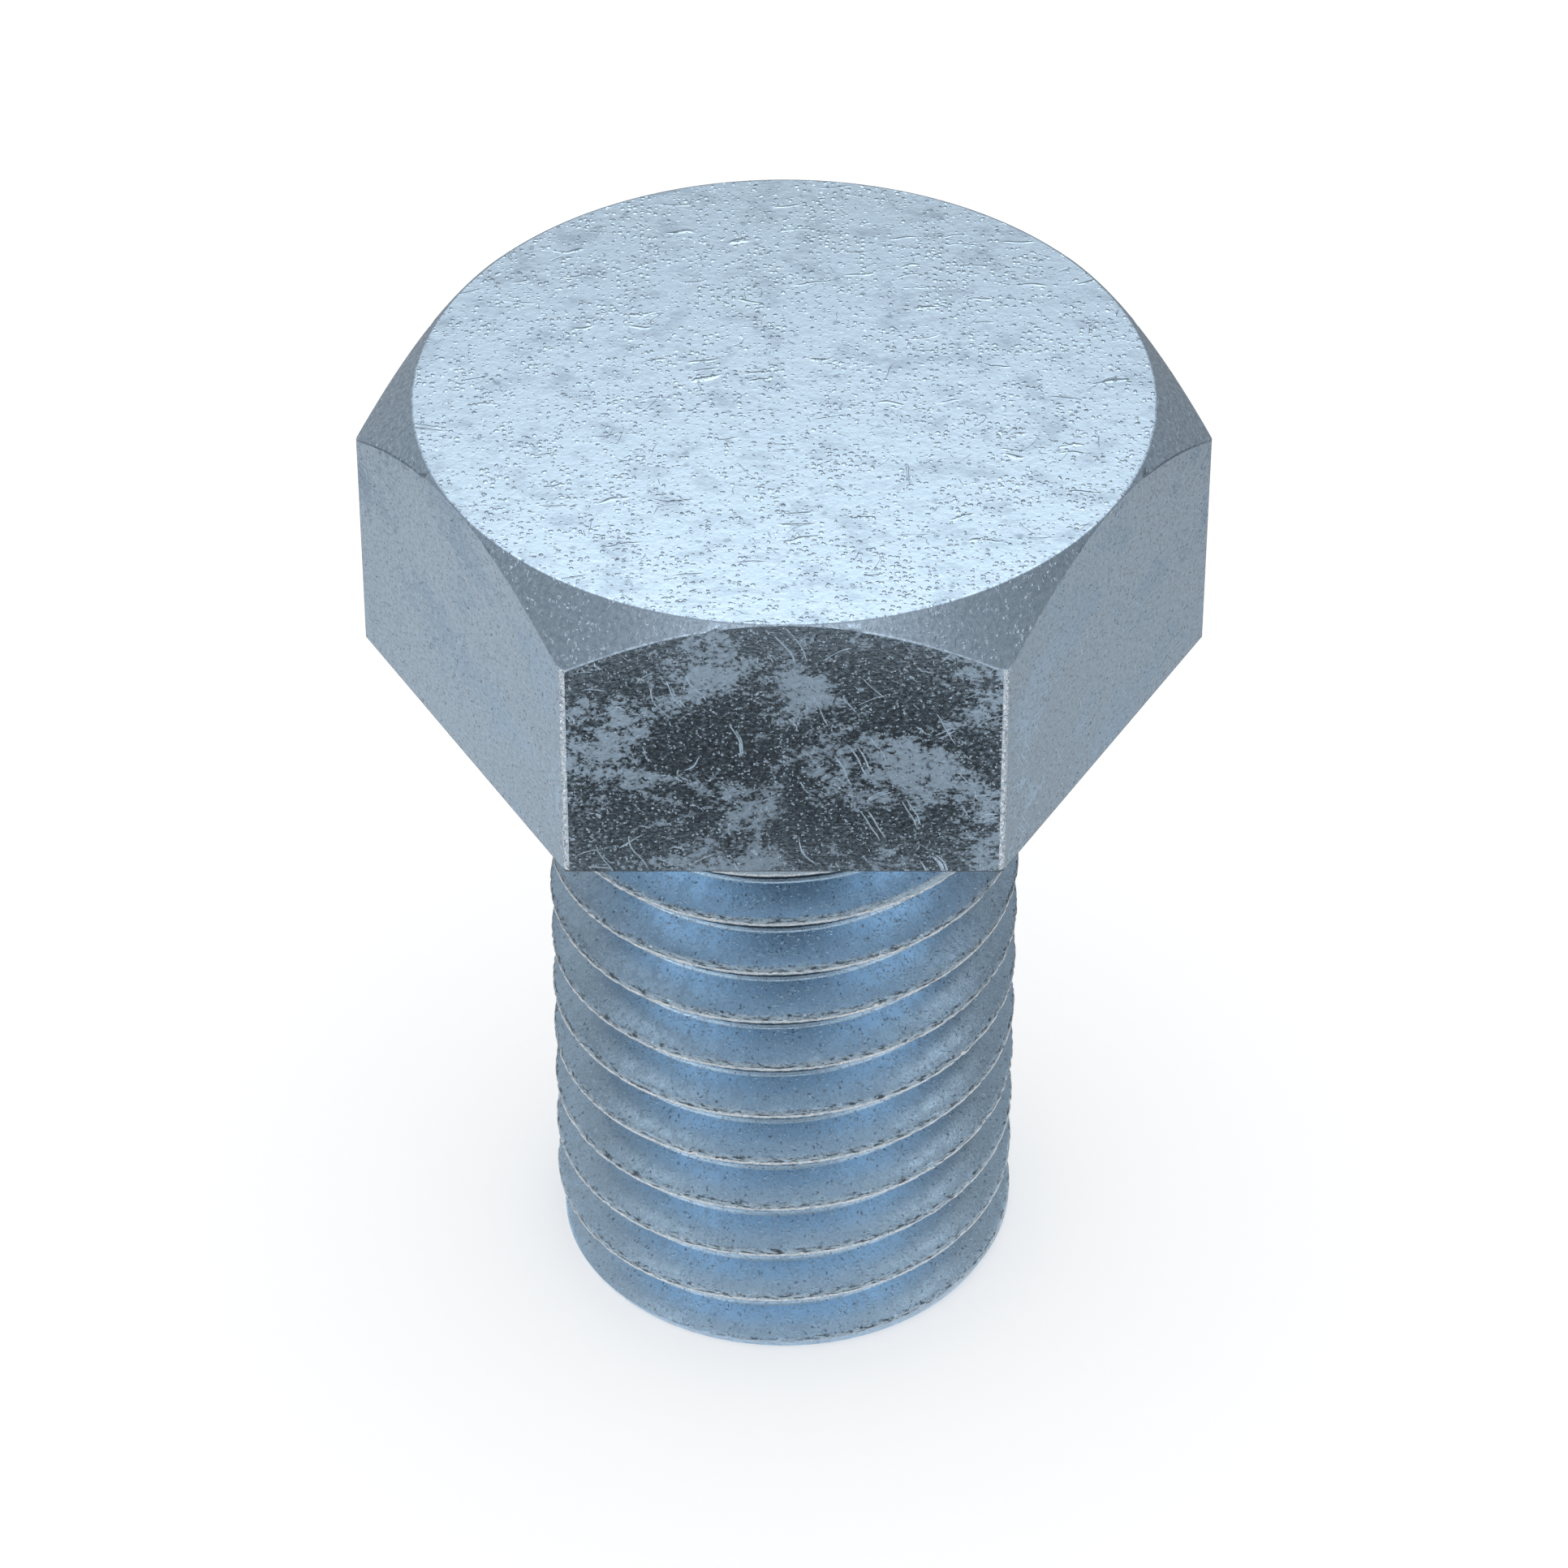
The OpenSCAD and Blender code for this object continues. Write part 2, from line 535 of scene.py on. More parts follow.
# %% [markdown]
# ## Shading
#
# A mirror-like surface shows the smallest fault in its normals. Smooth shading
# alone would bend the light at the borders of the flats and draw fans over the
# long facets of the chamfer. So the flats and the chamfer are given the normals
# of the true plane and the true cone, and the narrow bevels between them take
# over what their neighbours have. Then the screw is brought to metres.

# %% Smooth shading that leaves the flats flat
bpy.ops.object.select_all(action="DESELECT")
screw.select_set(True)
bpy.context.view_layer.objects.active = screw
bpy.ops.object.shade_smooth_by_angle(angle=math.radians(40))
bpy.ops.object.modifier_add(type="WEIGHTED_NORMAL")
screw.modifiers[-1].keep_sharp = True
bpy.ops.object.modifier_apply(modifier=screw.modifiers[-1].name)
print("corners of the mesh:", len(screw.data.loops))

# %% Normals of the true cone and flats
mesh = screw.data
cone = math.sqrt(0.5)


def own_normal(face, p):
    """The normal at a point of a flat or of the cone, or None on the bevels."""
    around = Vector((face.center.x, face.center.y, 0)).normalized()
    if face.material_index == FLAT:
        return face.normal.copy()
    if min(face.normal.dot(around), face.normal.z) > cone - 0.01:
        return Vector((p.x, p.y, radius(p))).normalized()
    return None


head_faces = [f for f in mesh.polygons if f.material_index in (FLAT, CHAMFER)]
normals = [corner.vector.copy() for corner in mesh.corner_normals]
true_normal = {}
for face in head_faces:
    for corner, k in zip(face.loop_indices, face.vertices):
        found = own_normal(face, mesh.vertices[k].co)
        if found is not None:
            normals[corner] = true_normal[k] = found
for face in head_faces:
    for corner, k in zip(face.loop_indices, face.vertices):
        if own_normal(face, mesh.vertices[k].co) is None:
            normals[corner] = true_normal.get(k, normals[corner])
mesh.normals_split_custom_set(normals)
print("points with the normal of the true cone or flat:", len(true_normal))

# %% From millimetres to metres
bpy.ops.transform.resize(value=(mm, mm, mm), center_override=(0, 0, 0))
bpy.ops.object.transform_apply(location=True, scale=True)
print("screw in metres:", [round(c, 5) for c in screw.dimensions])

# %% [markdown]
# ## Zinc coat
#
# The finish is bright zinc, plated on forged steel and then knocked about in a
# bin. Zinc is a bluish white metal. Where the coat is sound it mirrors the room
# softly, and where handling has rubbed it or it has turned to white oxide it is
# rougher and scatters the light of the whole room. It could be one even
# metal with a picture of dirt laid over it. Instead each kind of mark is a
# pattern of its own, at its real size in millimetres, so it holds up from near.


# %% Colours and nodes
def linear(hex_colour):
    """An sRGB hex colour as linear red, green, blue and alpha."""
    values = [int(hex_colour[i : i + 2], 16) / 255 for i in (1, 3, 5)]
    return [c / 12.92 if c <= 0.04045 else ((c + 0.055) / 1.055) ** 2.4 for c in values] + [1]


def add(tree, kind, inputs=(), out=0, **settings):
    """Adds a node and returns one of its outputs, or all of them where out is None.

    The inputs are a list in the node's own order or a dict by name, and each is
    a value or the output of another node.
    """
    node = tree.nodes.new("ShaderNode" + kind)
    for name, value in settings.items():
        setattr(node, name, value)
    for key, value in inputs.items() if isinstance(inputs, dict) else enumerate(inputs):
        if isinstance(value, bpy.types.NodeSocket):
            tree.links.new(value, node.inputs[key])
        else:
            node.inputs[key].default_value = value
    return node.outputs if out is None else node.outputs[out]


# %% [markdown]
# ## Patterns
#
# Three patterns draw all the marks. Grain is plain noise, for mottling and
# mill scale. Spots are cells of which a share carries a round dent or blister.
# Strokes are the same cells stretched long and thin, for scratches. Where marks
# would look too even, their place is frayed first. Each pattern takes its size
# in millimetres, and dents finer than about 0.05 mm are drawn that coarse, as
# finer ones would not show in the picture.


# %% Grain
def grain(tree, place, size, detail=2.0, rough=0.5):
    """Noise with features about that large, in mm; a pair gives each direction its own."""
    along, up = size if isinstance(size, tuple) else (size, size)
    near = add(tree, "Mapping", {"Vector": place, "Scale": (1 / along, 1 / up, 1)})
    return add(
        tree,
        "TexNoise",
        {"Vector": near, "Scale": 1.0, "Detail": detail, "Roughness": rough},
        noise_dimensions="2D",
    )


# %% Frayed places
def frayed(tree, place, size, amount):
    """The place pushed about by noise of that size, which frays the marks drawn there."""
    near = add(tree, "VectorMath", [place, (1 / size, 1 / size, 1)], operation="MULTIPLY")
    push = add(
        tree,
        "TexNoise",
        {"Vector": near, "Scale": 1.0, "Detail": 2.0},
        out="Color",
        noise_dimensions="2D",
    )
    return add(tree, "VectorMath", [push, (amount, amount, 0), place], operation="MULTIPLY_ADD")


# %% Spots and strokes
def cells(tree, near, share, inner, outer):
    """Marks amid a share of the cells, fading from the inner to the outer distance."""
    cell = add(
        tree, "TexVoronoi", {"Vector": near, "Scale": 1.0}, out=None, voronoi_dimensions="2D"
    )
    chance = add(tree, "SeparateColor", [cell["Color"]])
    chosen = add(tree, "Math", [chance, share], operation="LESS_THAN")
    mark = add(
        tree,
        "MapRange",
        [cell["Distance"], inner, outer, 1.0, 0.0],
        interpolation_type="SMOOTHSTEP",
    )
    return add(tree, "Math", [mark, chosen], operation="MULTIPLY")


def spots(tree, place, size, share, seed=0.0):
    """Round spots about that wide, in mm; the share is that of places which have one."""
    near = add(
        tree,
        "Mapping",
        {"Vector": place, "Scale": (0.5 / size, 0.5 / size, 1), "Location": (seed, 2 * seed, 0)},
    )
    return cells(tree, near, share, 0.10, 0.36)


def strokes(tree, place, turn, length, width, share, bow=0.5, seed=0.0):
    """Scratches of about that length and width, in mm, turned by that angle and bowed."""
    bend = add(
        tree,
        "TexNoise",
        {"Vector": place, "Scale": 0.45, "Detail": 1.0},
        out="Color",
        noise_dimensions="2D",
    )
    bent = add(tree, "VectorMath", [bend, (bow, bow, 0), place], operation="MULTIPLY_ADD")
    turned = add(
        tree,
        "Mapping",
        {"Vector": bent, "Rotation": (0, 0, math.radians(-turn)), "Location": (seed, 3 * seed, 0)},
    )
    near = add(tree, "VectorMath", [turned, (0.5 / length, 0.5 / width, 1)], operation="MULTIPLY")
    return cells(tree, near, share, 0.08, 0.30)


# %% A new zinc material
def zinc_coat(name):
    """A zinc material without its patterns: material, nodes, shader, lay and how far out."""
    material = bpy.data.materials.new(name)
    material.use_nodes = True
    tree = material.node_tree
    tree.nodes.clear()
    shader = tree.nodes.new("ShaderNodeBsdfPrincipled")
    shader.inputs["Metallic"].default_value = 1.0
    add(tree, "OutputMaterial", [shader.outputs[0]], out=None)
    place = add(tree, "Attribute", out="Vector", attribute_name="lay")
    outward = add(tree, "Attribute", out="Fac", attribute_name="outward")
    return material, tree, shader, place, outward


def set_finish(tree, shader, colour, roughness, relief):
    """Links the finish to the shader; the relief is a height in millimetres."""
    normal = add(tree, "Bump", {"Height": relief, "Distance": mm, "Strength": 1.0})
    for socket, value in (("Base Color", colour), ("Roughness", roughness), ("Normal", normal)):
        tree.links.new(value, shader.inputs[socket])
    print("finish of", len(tree.nodes), "nodes")


# %% [markdown]
# ### Flats
#
# The flats are smooth and almost mirror-like, with a streaky grain along the
# bar. Rubbed patches with frayed borders are dull. Only roughness tells them
# apart, so they show on the flat that mirrors something dark and vanish on the
# others, as on the real part. Steep scratches, hatch marks and fine dents cover
# all of it, and the upright corners are worn bright.

# %% Rubbed patches of the flats
flat_zinc, tree, shader, place, outward = zinc_coat("zinc_on_flats")
streaks = grain(tree, place, (0.22, 0.14), detail=4.0, rough=0.7)
fields = grain(tree, place, (4.6, 3.9), detail=2.0)
frays = grain(tree, place, (0.8, 0.6), detail=7.0, rough=0.75)
patch = add(tree, "Math", [fields, 1.1, frays], operation="MULTIPLY_ADD")
patch = add(tree, "Math", [streaks, 0.5, patch], operation="MULTIPLY_ADD")
rubbed = add(tree, "MapRange", [patch, 1.33, 1.47])

# %% Scratches and dents of the flats
worn_place = frayed(tree, place, 0.16, 0.22)
steep = strokes(tree, place, -62, 1.5, 0.05, 0.045, bow=0.8)
falling = strokes(tree, worn_place, -40, 0.4, 0.045, 0.03, bow=1.6, seed=11.0)
hatch = strokes(tree, place, 26, 0.9, 0.045, 0.018, bow=1.2, seed=31.0)
scratches = add(tree, "Math", [steep, hatch], operation="MAXIMUM")
scratches = add(tree, "Math", [scratches, falling], operation="MAXIMUM")
dents = spots(tree, worn_place, 0.055, 0.12)
bands = add(tree, "MapRange", [frays, 0.45, 0.60, 0.02, 0.12])
glints = spots(tree, place, 0.06, bands, seed=13.0)
dull = add(tree, "Math", [rubbed, scratches], operation="MAXIMUM")

# %% Worn upright corners of the flats
flat_half = across_flats / 2 / math.sqrt(3)
from_middle = add(tree, "Math", [outward], operation="ABSOLUTE")
corner = add(tree, "Math", [frays, 0.5, from_middle], operation="MULTIPLY_ADD")
worn_off = add(tree, "MapRange", [corner, flat_half + 0.17, flat_half + 0.26])

# %% Flats: colour, roughness and relief
mottle = grain(tree, place, (0.24, 0.14), detail=4.0, rough=0.75)
shade = add(tree, "MapRange", [mottle, 0.38, 0.72, 0.0, 0.75])
colour = add(
    tree, "Mix", {0: shade, 6: linear("#C8E0F5"), 7: linear("#A0B3C5")}, out=2, data_type="RGBA"
)
dirt = spots(tree, worn_place, 0.07, 0.16, seed=5.0)
dirt = add(tree, "Math", [dirt, 0.75], operation="MULTIPLY")
colour = add(
    tree, "Mix", {0: dirt, 6: colour, 7: linear("#3E4A55")}, out=2, data_type="RGBA"
)
colour = add(
    tree, "Mix", {0: worn_off, 6: colour, 7: linear("#DCEBF6")}, out=2, data_type="RGBA"
)
polish = add(tree, "MapRange", [streaks, 0.40, 0.70, 0.10, 0.34])
roughness = add(tree, "Mix", {"Factor": dull, "A": polish, "B": 0.52})
relief = add(tree, "Math", [streaks, 0.005], operation="MULTIPLY")
relief = add(tree, "Math", [mottle, 0.007, relief], operation="MULTIPLY_ADD")
relief = add(tree, "Math", [dents, 0.045, relief], operation="MULTIPLY_ADD")
relief = add(tree, "Math", [glints, 0.080, relief], operation="MULTIPLY_ADD")
relief = add(tree, "Math", [scratches, 0.022, relief], operation="MULTIPLY_ADD")
set_finish(tree, shader, colour, roughness, relief)

# %% [markdown]
# ### Top
#
# The top face was struck by the forging die and then lay against other screws
# in the barrel. It carries hundreds of small blisters and dents in loose
# clusters, groups of level ridges, a few hair scratches, dark pits and soft
# smudges. It faces the bright sky, so relief is what shows here.

# %% Relief of the top
top_zinc, tree, shader, place, outward = zinc_coat("zinc_on_top")
clusters = grain(tree, place, (2.6, 1.8), detail=3.0, rough=0.6)
density = add(tree, "MapRange", [clusters, 0.42, 0.60, 0.05, 0.60])
worn_place = frayed(tree, place, 0.20, 0.12)
blisters = spots(tree, worn_place, 0.14, density)
specks = spots(tree, worn_place, 0.09, 0.22, seed=9.0)
ripple = grain(tree, place, 0.30, detail=4.0, rough=0.6)
ridges = strokes(tree, place, 7, 1.1, 0.14, 0.09, bow=1.2)
hairs = strokes(tree, place, 50, 1.2, 0.035, 0.008, bow=1.6, seed=17.0)
hooks = strokes(tree, worn_place, -60, 0.32, 0.05, 0.030, bow=2.0, seed=23.0)
hairs = add(tree, "Math", [hairs, hooks], operation="MAXIMUM")

# %% Top: colour, roughness and relief
clouds = grain(tree, place, (1.8, 1.4), detail=5.0, rough=0.6)
shade = add(tree, "MapRange", [clouds, 0.50, 0.72, 0.0, 0.62])
colour = add(
    tree, "Mix", {0: shade, 6: linear("#C6DDF0"), 7: linear("#9FB3C6")}, out=2, data_type="RGBA"
)
pits = spots(tree, worn_place, 0.26, 0.03, seed=7.0)
dirt = add(tree, "Math", [pits, hairs], operation="MAXIMUM")
dirt = add(tree, "Math", [dirt, 0.38], operation="MULTIPLY")
colour = add(
    tree, "Mix", {0: dirt, 6: colour, 7: linear("#5B6E80")}, out=2, data_type="RGBA"
)
roughness = add(tree, "MapRange", [ripple, 0.3, 0.7, 0.20, 0.30])
relief = add(tree, "Math", [ripple, 0.012], operation="MULTIPLY")
relief = add(tree, "Math", [blisters, 0.030, relief], operation="MULTIPLY_ADD")
relief = add(tree, "Math", [specks, 0.018, relief], operation="MULTIPLY_ADD")
relief = add(tree, "Math", [ridges, 0.032, relief], operation="MULTIPLY_ADD")
relief = add(tree, "Math", [hairs, -0.012, relief], operation="MULTIPLY_ADD")
set_finish(tree, shader, colour, roughness, relief)

# %% [markdown]
# ### Chamfer and worn edges
#
# The chamfer was turned before plating and has no patches: only blisters,
# small bright points where they are rubbed, and a few marks along the slope.
# The worn edges share its finish. The upright ones are rubbed bright, and the
# lower ones carry painted shade, a dark band where they face down.

# %% Chamfer
chamfer_zinc, tree, shader, place, outward = zinc_coat("zinc_on_chamfer")
worn_place = frayed(tree, place, 0.16, 0.24)
blisters = spots(tree, worn_place, 0.09, 0.30)
ripple = grain(tree, place, 0.22, detail=4.0, rough=0.7)
ticks = strokes(tree, place, 65, 0.5, 0.06, 0.03, seed=3.0)
shade = add(tree, "MapRange", [ripple, 0.35, 0.70, 0.0, 0.8])
colour = add(
    tree, "Mix", {0: shade, 6: linear("#C2D8EC"), 7: linear("#8C9FB2")}, out=2, data_type="RGBA"
)
corner = add(tree, "Math", [ripple, 0.3, outward], operation="MULTIPLY_ADD")
worn_r = worn_corners / 2
worn_off = add(tree, "MapRange", [corner, worn_r + 0.08, worn_r + 0.17])
scuffs = grain(tree, place, (0.16, 0.26), detail=3.0, rough=0.7)
scuffs = add(tree, "MapRange", [scuffs, 0.34, 0.48])
bright = add(
    tree, "Mix", {0: scuffs, 6: linear("#74879A"), 7: linear("#EAF4FD")}, out=2, data_type="RGBA"
)
colour = add(tree, "Mix", {0: worn_off, 6: colour, 7: bright}, out=2, data_type="RGBA")
height = add(tree, "SeparateXYZ", [place], out="Y")
# Painted shade: the lowest bevels of the head, which face down, are darkened.
low_edge_shade = add(tree, "MapRange", [height, 0.08, 0.16, 0.9, 0.0])
colour = add(
    tree, "Mix", {0: low_edge_shade, 6: colour, 7: linear("#2B3136")}, out=2, data_type="RGBA"
)
roughness = add(tree, "MapRange", [ripple, 0.3, 0.7, 0.22, 0.36])
roughness = add(tree, "Mix", {"Factor": worn_off, "A": roughness, "B": 0.14})
relief = add(tree, "Math", [ripple, 0.016], operation="MULTIPLY")
relief = add(tree, "Math", [blisters, 0.026, relief], operation="MULTIPLY_ADD")
grit = add(tree, "Math", [worn_off, scuffs], operation="MULTIPLY")
relief = add(tree, "Math", [ticks, 0.030, relief], operation="MULTIPLY_ADD")
relief = add(tree, "Math", [grit, 0.02, relief], operation="MULTIPLY_ADD")
set_finish(tree, shader, colour, roughness, relief)

# %% [markdown]
# ### Thread
#
# Rolling presses the thread smooth, so its flanks mirror each other and turn a
# deeper blue than the head. Plating is thin, and the root carries painted shade,
# dark and ragged. The crests are rubbed down to bare grey steel, with a painted
# highlight along their lower edges and scabs of dirt beside it. The distance
# from the screw's axis and the notes that the thread's points carry tell root,
# flank and crest apart, and noise frays the borders between them.

# %% Root and crest of the thread
shank_zinc, tree, shader, place, outward = zinc_coat("zinc_on_thread")
frays = grain(tree, place, 0.30, detail=5.0, rough=0.8)
# Painted shade in the root, frayed by noise.
root_shade = add(tree, "Attribute", out="Fac", attribute_name="root_shade")
root_shade = add(tree, "Math", [frays, 0.6, root_shade], operation="MULTIPLY_ADD")
in_root_shade = add(tree, "MapRange", [root_shade, 0.44, 0.58, 0.0, 0.92])
ragged = add(tree, "Math", [frays, 0.5, outward], operation="MULTIPLY_ADD")
on_crests = add(tree, "MapRange", [ragged, crest_r + 0.12, crest_r + 0.22, 0.0, 0.7])
height = add(tree, "SeparateXYZ", [place], out="Y")
body_foot = -(body_l + body_taper_h + 0.1) * shank_lay[1]
below_body = add(tree, "Math", [height, body_foot], operation="LESS_THAN")
on_crests = add(tree, "Math", [on_crests, below_body], operation="MULTIPLY")
# Rubbed bare steel, with a painted highlight on the crests' lower edges.
rub_and_highlight = add(tree, "Attribute", out="Fac", attribute_name="rub_and_highlight")
rub_and_highlight = add(tree, "Math", [frays, 1.3, rub_and_highlight], operation="MULTIPLY_ADD")
bare_and_highlight = add(tree, "MapRange", [rub_and_highlight, 1.32, 1.50])

# %% Scabs of dirt on the crests
scab = grain(tree, place, (0.5, 0.2), detail=4.0, rough=0.7)
scab = add(tree, "MapRange", [scab, 0.51, 0.57])
scab = add(tree, "Math", [scab, on_crests], operation="MULTIPLY")
full_depth = add(tree, "Attribute", out="Fac", attribute_name="full_depth")
full_depth = add(tree, "MapRange", [full_depth, 0.85, 1.0])
scab = add(tree, "Math", [scab, full_depth], operation="MULTIPLY")

# %% Thread: colour
mottle = grain(tree, place, (0.55, 0.65), detail=7.0, rough=0.75)
speckle = grain(tree, place, 0.11, detail=3.0, rough=0.7)
worn_place = frayed(tree, place, 0.16, 0.24)
dents = spots(tree, worn_place, 0.07, 0.25)
dirt = spots(tree, worn_place, 0.08, 0.10, seed=5.0)
shade = add(tree, "Math", [speckle, 1.0, mottle], operation="MULTIPLY_ADD")
shade = add(tree, "MapRange", [shade, 0.90, 1.30, 0.0, 0.45])
colour = add(
    tree, "Mix", {0: shade, 6: linear("#B6D2EA"), 7: linear("#7B8C9C")}, out=2, data_type="RGBA"
)
colour = add(
    tree, "Mix", {0: on_crests, 6: colour, 7: linear("#ADBDC9")}, out=2, data_type="RGBA"
)
# Darker colour from dirt spots, scabs of dirt and the painted shade in the root.
dirt_and_shade = add(tree, "Math", [dirt, 0.7], operation="MULTIPLY")
dirt_and_shade = add(tree, "Math", [dirt_and_shade, in_root_shade], operation="MAXIMUM")
dirt_and_shade = add(tree, "Math", [scab, 1.3, dirt_and_shade], operation="MULTIPLY_ADD", use_clamp=True)
colour = add(
    tree, "Mix", {0: dirt_and_shade, 6: colour, 7: linear("#363F47")}, out=2, data_type="RGBA"
)
# The bare steel colour, near white, also gives the painted highlight on the crests' lower edges.
steel_and_highlight = add(tree, "MapRange", [speckle, 0.40, 0.62])
steel_and_highlight = add(
    tree, "Mix", {0: steel_and_highlight, 6: linear("#C4D2DC"), 7: linear("#FAFCFE")}, out=2, data_type="RGBA"
)
colour = add(tree, "Mix", {0: bare_and_highlight, 6: colour, 7: steel_and_highlight}, out=2, data_type="RGBA")

# %% Thread: roughness and relief
roughness = add(tree, "MapRange", [mottle, 0.35, 0.68, 0.16, 0.36])
grit = add(tree, "Math", [on_crests, 0.030, 0.008], operation="MULTIPLY_ADD")
relief = add(tree, "Math", [speckle, grit], operation="MULTIPLY")
relief = add(tree, "Math", [mottle, 0.014, relief], operation="MULTIPLY_ADD")
relief = add(tree, "Math", [dents, 0.018, relief], operation="MULTIPLY_ADD")
set_finish(tree, shader, colour, roughness, relief)

# %% Finishes on the screw
for material in (flat_zinc, top_zinc, chamfer_zinc, shank_zinc):
    mesh.materials.append(material)
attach(screw, "root")
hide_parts("hex_head_cap_screw")
print("materials:", [m.name for m in mesh.materials])

# %% [markdown]
# ## Floor, light and reflections
#
# The screw stands on a pale floor under an even white sky. Polished metal only
# shows what is around it, so a product photographer surrounds it with grey
# card. Here a tent of it stands round the screw, seen by nothing but
# reflections: bright towards the front corners, darker at the back, with a soft
# light for a ceiling. Small cards stand inside it: a black flag in front turns
# the front flat dark, and others draw the edges of the head.


# %% Floor
def stage_material(name):
    material = bpy.data.materials.new(name)
    material.use_nodes = True
    material.node_tree.nodes.clear()
    return material, material.node_tree


bpy.ops.object.select_all(action="DESELECT")
bpy.ops.mesh.primitive_plane_add(size=6, location=(0, 0, -shank_l * mm))
floor = bpy.context.object
floor.name = "floor"
bpy.ops.object.transform_apply(location=True)
floor_white, tree = stage_material("floor_white")
paper = add(tree, "BsdfDiffuse", {"Color": (0.8, 0.8, 0.8, 1)})
rays = add(tree, "LightPath", out=None)
seen = add(tree, "Math", [rays["Is Camera Ray"], rays["Is Glossy Ray"]], operation="MAXIMUM")
seen = add(tree, "Math", [seen, rays["Is Transmission Ray"]], operation="MAXIMUM")
seen = add(tree, "Math", [seen, 0.3], operation="MULTIPLY")
glow = add(tree, "Emission", {"Strength": seen})
both = add(tree, "AddShader", [paper, glow])
add(tree, "OutputMaterial", [both], out=None)
floor_white.cycles.emission_sampling = "NONE"
floor.data.materials.append(floor_white)
print("floor at", round(1000 * floor.data.vertices[0].co.z, 2), "mm")

# %% Sky
world = bpy.data.worlds.new("white_sky")
bpy.context.scene.world = world
world.use_nodes = True
sky = world.node_tree.nodes["Background"]
sky.inputs["Color"].default_value = (1, 1, 1, 1)
sky.inputs["Strength"].default_value = 1.0
print("sky:", world.name)


# %% A card that only the metal sees
def only_reflected(card, material):
    """Hides a card from all but reflections."""
    material.cycles.emission_sampling = "NONE"
    card.data.materials.append(material)
    card.visible_camera = False
    card.visible_diffuse = False
    card.visible_shadow = False
    card.visible_transmission = False


# %% Tent of grey card
bpy.ops.object.select_all(action="DESELECT")
bpy.ops.mesh.primitive_cone_add(
    vertices=72,
    radius1=25 * mm,
    radius2=90 * mm,
    depth=130 * mm,
    location=(0, 0, 36 * mm),
    end_fill_type="NOTHING",
)
tent = bpy.context.object
tent.name = "grey_tent"
bpy.ops.object.transform_apply(location=True)
print("tent:", [round(1000 * c) for c in tent.dimensions], "mm")

# %% Greys of the tent
# Stops are degrees round from the front and the grey there, the same on both
# sides: one row for the tent's foot and one for above the head's top.
round_stops = [
    (0, 0.48), (18, 0.52), (36, 1.10), (50, 0.82), (68, 0.42),
    (100, 0.60), (132, 0.44), (180, 0.40),
]
upper_stops = [
    (0, 1.5), (18, 1.1), (36, 0.38), (70, 0.36), (100, 0.45), (132, 0.44), (180, 0.36)
]
# Stops are heights in mm and the grey that the back reaches there.
back_stops = [(10, 0.30), (38, 0.52), (56, 0.84), (68, 0.96), (100, 1.15)]

foot_top = 1.15
upper_top = 1.5
right_share = 0.80

# %% Where a point of the tent is
tent_grey, tree = stage_material("tent_grey")
place = add(tree, "TexCoord", out="Object")
across, depth, height = add(tree, "SeparateXYZ", [place], out=None)
ahead = add(tree, "Math", [depth, -1.0], operation="MULTIPLY")
turn = add(tree, "Math", [across, ahead], operation="ARCTAN2")
turn = add(tree, "Math", [turn], operation="ABSOLUTE")
turn = add(tree, "Math", [turn, 1 / math.pi], operation="MULTIPLY")


# %% A curve of greys
def grey_curve(value, stops, low, high, top):
    """A float curve through the stops, from low to high; its greys go up to the top."""
    share = add(tree, "MapRange", [value, low, high])
    curve = tree.nodes.new("ShaderNodeFloatCurve")
    points = curve.mapping.curves[0].points
    for place, grey in stops[1:-1]:
        points.new((place - stops[0][0]) / (stops[-1][0] - stops[0][0]), grey / top)
    points[0].location = (0, stops[0][1] / top)
    points[-1].location = (1, stops[-1][1] / top)
    for point in points:
        point.handle_type = "VECTOR"
    curve.mapping.update()
    tree.links.new(share, curve.inputs["Value"])
    return add(tree, "Math", [curve.outputs[0], top], operation="MULTIPLY")


# %% Greys round the tent, and up its back
around = grey_curve(turn, round_stops, 0.0, 1.0, foot_top)
upper_side = grey_curve(turn, upper_stops, 0.0, 1.0, upper_top)
upward = grey_curve(height, back_stops, 0.010, 0.100, upper_top)
above_head = add(tree, "MapRange", [height, 0.002, 0.022])
around = add(tree, "Mix", {"Factor": above_head, "A": around, "B": upper_side})
behind = add(tree, "MapRange", [turn, 0.55, 0.75], interpolation_type="SMOOTHSTEP")
high = add(tree, "MapRange", [height, 0.010, 0.030], interpolation_type="SMOOTHSTEP")
behind = add(tree, "Math", [behind, high], operation="MULTIPLY")
grey = add(tree, "Mix", {"Factor": behind, "A": around, "B": upward})

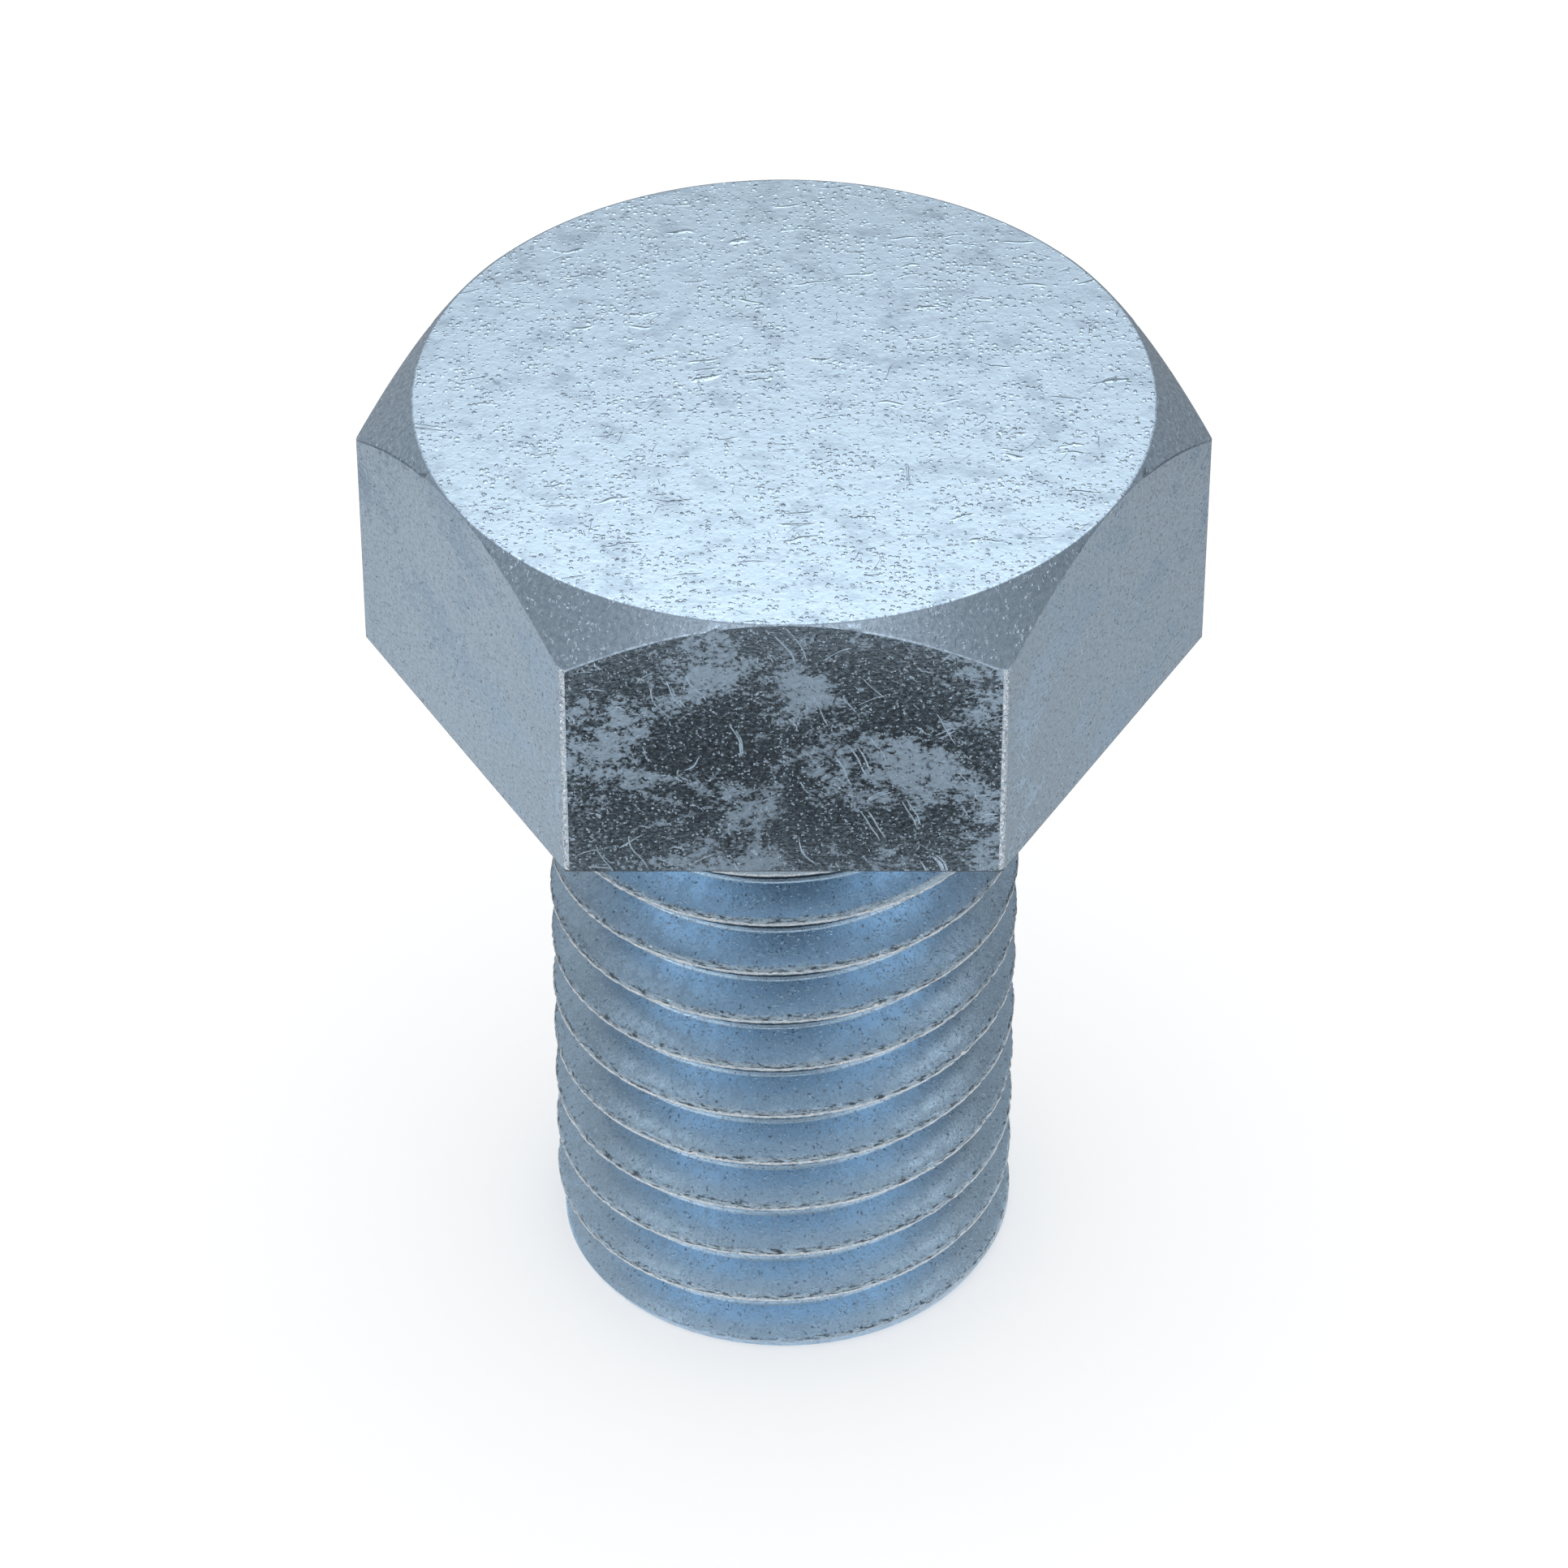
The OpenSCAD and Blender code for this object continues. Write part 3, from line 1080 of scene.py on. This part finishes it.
# %% The tent's right side, a little darker
right_side = add(tree, "MapRange", [across, -0.008, 0.008, 1.0, right_share])
in_front = add(tree, "MapRange", [turn, 0.30, 0.40, 0.0, 1.0])
right_side = add(tree, "Mix", {"Factor": in_front, "A": 1.0, "B": right_side})
not_back = add(tree, "Math", [1.0, behind], operation="SUBTRACT")
right_side = add(tree, "Mix", {"Factor": not_back, "A": 1.0, "B": right_side})
grey = add(tree, "Math", [grey, right_side], operation="MULTIPLY")
glow = add(tree, "Emission", {"Strength": grey})
add(tree, "OutputMaterial", [glow], out=None)
only_reflected(tent, tent_grey)

# %% Soft light overhead
bpy.ops.object.select_all(action="DESELECT")
bpy.ops.mesh.primitive_circle_add(
    vertices=72, radius=90 * mm, fill_type="NGON", location=(0, 0, 101 * mm)
)
ceiling = bpy.context.object
ceiling.name = "soft_ceiling"
bpy.ops.object.transform_apply(location=True)
ceiling_white, tree = stage_material("ceiling_white")
# Its front part is dimmer, because only the lowest turns of the thread mirror it.
place = add(tree, "TexCoord", out="Object")
depth = add(tree, "SeparateXYZ", [place], out="Y")
strength = add(tree, "MapRange", [depth, -0.020, 0.0, 0.5, 1.7])
glow = add(tree, "Emission", {"Strength": strength})
add(tree, "OutputMaterial", [glow], out=None)
only_reflected(ceiling, ceiling_white)

# %% Cards inside the tent
# Name, place and size in mm, turn in degrees and brightness: a black card before
# the front flat, one at each side for the rounded edges between the chamfer and
# the side flats, and a white one at each side for the two front upright edges.
cards = [
    ("front_flag", (0, -32, -8.8), (-50.18, 0, 0), (23, 14), 0.05),
    ("left_flag", (-34.2, 7.3, 4), (90, 0, 102), (12, 12), 0.03),
    ("right_flag", (34.2, 7.3, 4), (90, 0, 78), (12, 12), 0.03),
    ("left_card", (-28, -17, -9), (90, 0, -59), (9, 11), 2.2),
    ("right_card", (28, -17, -9), (90, 0, 59), (9, 11), 2.2),
]
for name, location, turn, (wide, high), strength in cards:
    card_grey, tree = stage_material(name)
    glow = add(tree, "Emission", {"Strength": strength})
    add(tree, "OutputMaterial", [glow], out=None)
    bpy.ops.object.select_all(action="DESELECT")
    bpy.ops.mesh.primitive_plane_add(size=1)
    card = bpy.context.object
    card.name = name
    card.scale = (wide * mm, high * mm, 1)
    card.rotation_euler = [math.radians(angle) for angle in turn]
    card.location = Vector(location) * mm
    bpy.ops.object.transform_apply(location=True, rotation=True, scale=True)
    only_reflected(card, card_grey)
print("cards:", len(cards))

# %% Picture settings
bpy.context.scene.view_settings.view_transform = "Standard"
print("view transform:", bpy.context.scene.view_settings.view_transform)
